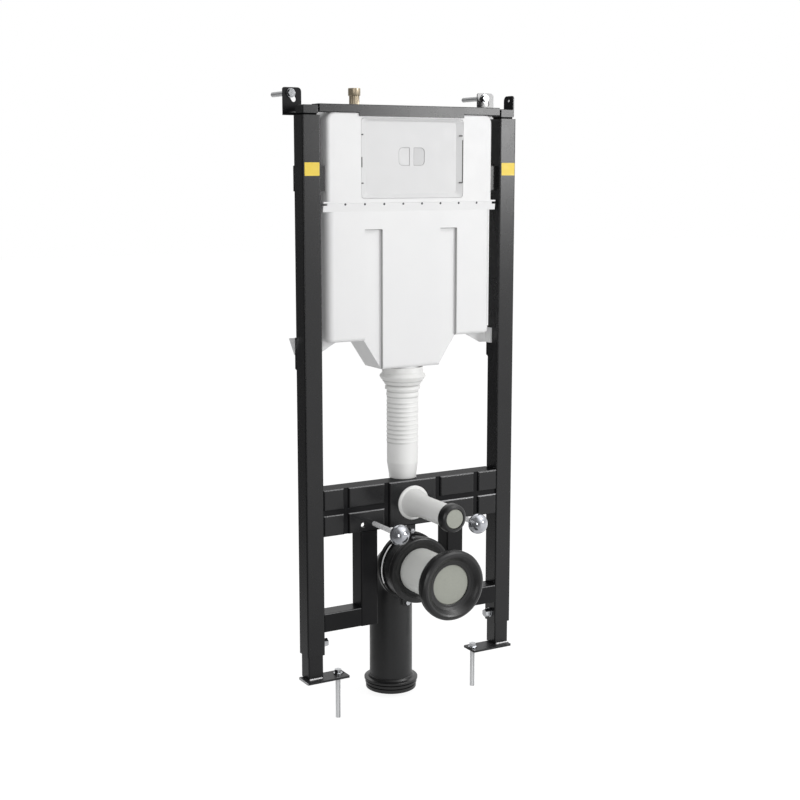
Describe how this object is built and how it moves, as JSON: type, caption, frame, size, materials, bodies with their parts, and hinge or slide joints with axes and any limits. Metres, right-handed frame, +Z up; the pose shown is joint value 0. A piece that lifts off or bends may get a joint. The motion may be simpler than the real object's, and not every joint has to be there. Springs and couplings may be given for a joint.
{
  "type": "wall hung toilet frame",
  "caption": "Floor-standing steel installation frame with concealed cistern, flush pipe, waste bend, bowl studs, telescopic legs and wall brackets",
  "frame": {"origin": "underside of the left foot plate, under the axis of the left leg, on the floor", "axes": "+Z up, +X to the right seen from the room, +Y towards the wall behind the frame"},
  "size_m": [0.502, 0.319, 1.25],
  "materials": {
    "black_steel": "satin black powder coat",
    "zinc_steel": "zinc plated",
    "chrome": "polished",
    "white_plastic": "moulded satin",
    "grey_plastic": "moulded satin",
    "pale_plastic": "moulded satin",
    "black_plastic": "satin",
    "black_rubber": "matt",
    "brass": "turned"
  },
  "bodies": {
    "foot_left": {"floor_anchor_left": "zinc_steel", "foot_plate_left": "black_steel", "leg_left": "black_steel"},
    "frame": {"access_cover": "white_plastic", "bowl_stud_left": "zinc_steel", "bowl_stud_right": "zinc_steel", "carrier_rail": "black_steel", "clamp_bolt_bottom": "zinc_steel", "clamp_bolt_top": "zinc_steel", "crossbar_left": "black_steel", "crossbar_right": "black_steel", "flush_bend": "black_plastic", "flush_connector": "white_plastic", "flush_nut": "white_plastic", "flush_pipe": "white_plastic", "flush_plug": "pale_plastic", "flush_sleeve": "black_rubber", "hanger_lower_left": "black_steel", "hanger_lower_right": "black_steel", "hanger_upper_left": "black_steel", "hanger_upper_right": "black_steel", "inlet_nipple": "brass", "leg_clamp_screw_left": "zinc_steel", "leg_clamp_screw_right": "zinc_steel", "pipe_clamp": "black_steel", "post_insert_left": "black_steel", "post_insert_right": "black_steel", "post_left": "black_steel", "post_right": "black_steel", "strut_left": "black_steel", "strut_right": "black_steel", "stud_nut_left": "chrome", "stud_nut_right": "chrome", "tank_lower": "white_plastic", "tank_upper": "white_plastic", "top_bar": "black_steel", "wall_anchor_left": "zinc_steel", "wall_anchor_right": "zinc_steel", "wall_bracket_left": "black_steel", "wall_bracket_right": "black_steel", "waste_bend": "black_plastic", "waste_collar": "black_rubber", "waste_plug": "pale_plastic", "waste_socket_ring": "black_rubber", "waste_spigot_rings": "black_rubber", "waste_tube": "grey_plastic"},
    "foot_right": {"floor_anchor_right": "zinc_steel", "foot_plate_right": "black_steel", "leg_right": "black_steel"}
  },
  "joints": [
    {"name": "frame_height", "type": "slide", "parent": "foot_left", "child": "frame", "axis": [0, 0, 1], "range_m": [-0.04, 0.15]},
    {"name": "right_leg_slide", "type": "slide", "parent": "frame", "child": "foot_right", "axis": [0, 0, -1], "range_m": [-0.04, 0.15]}
  ]
}
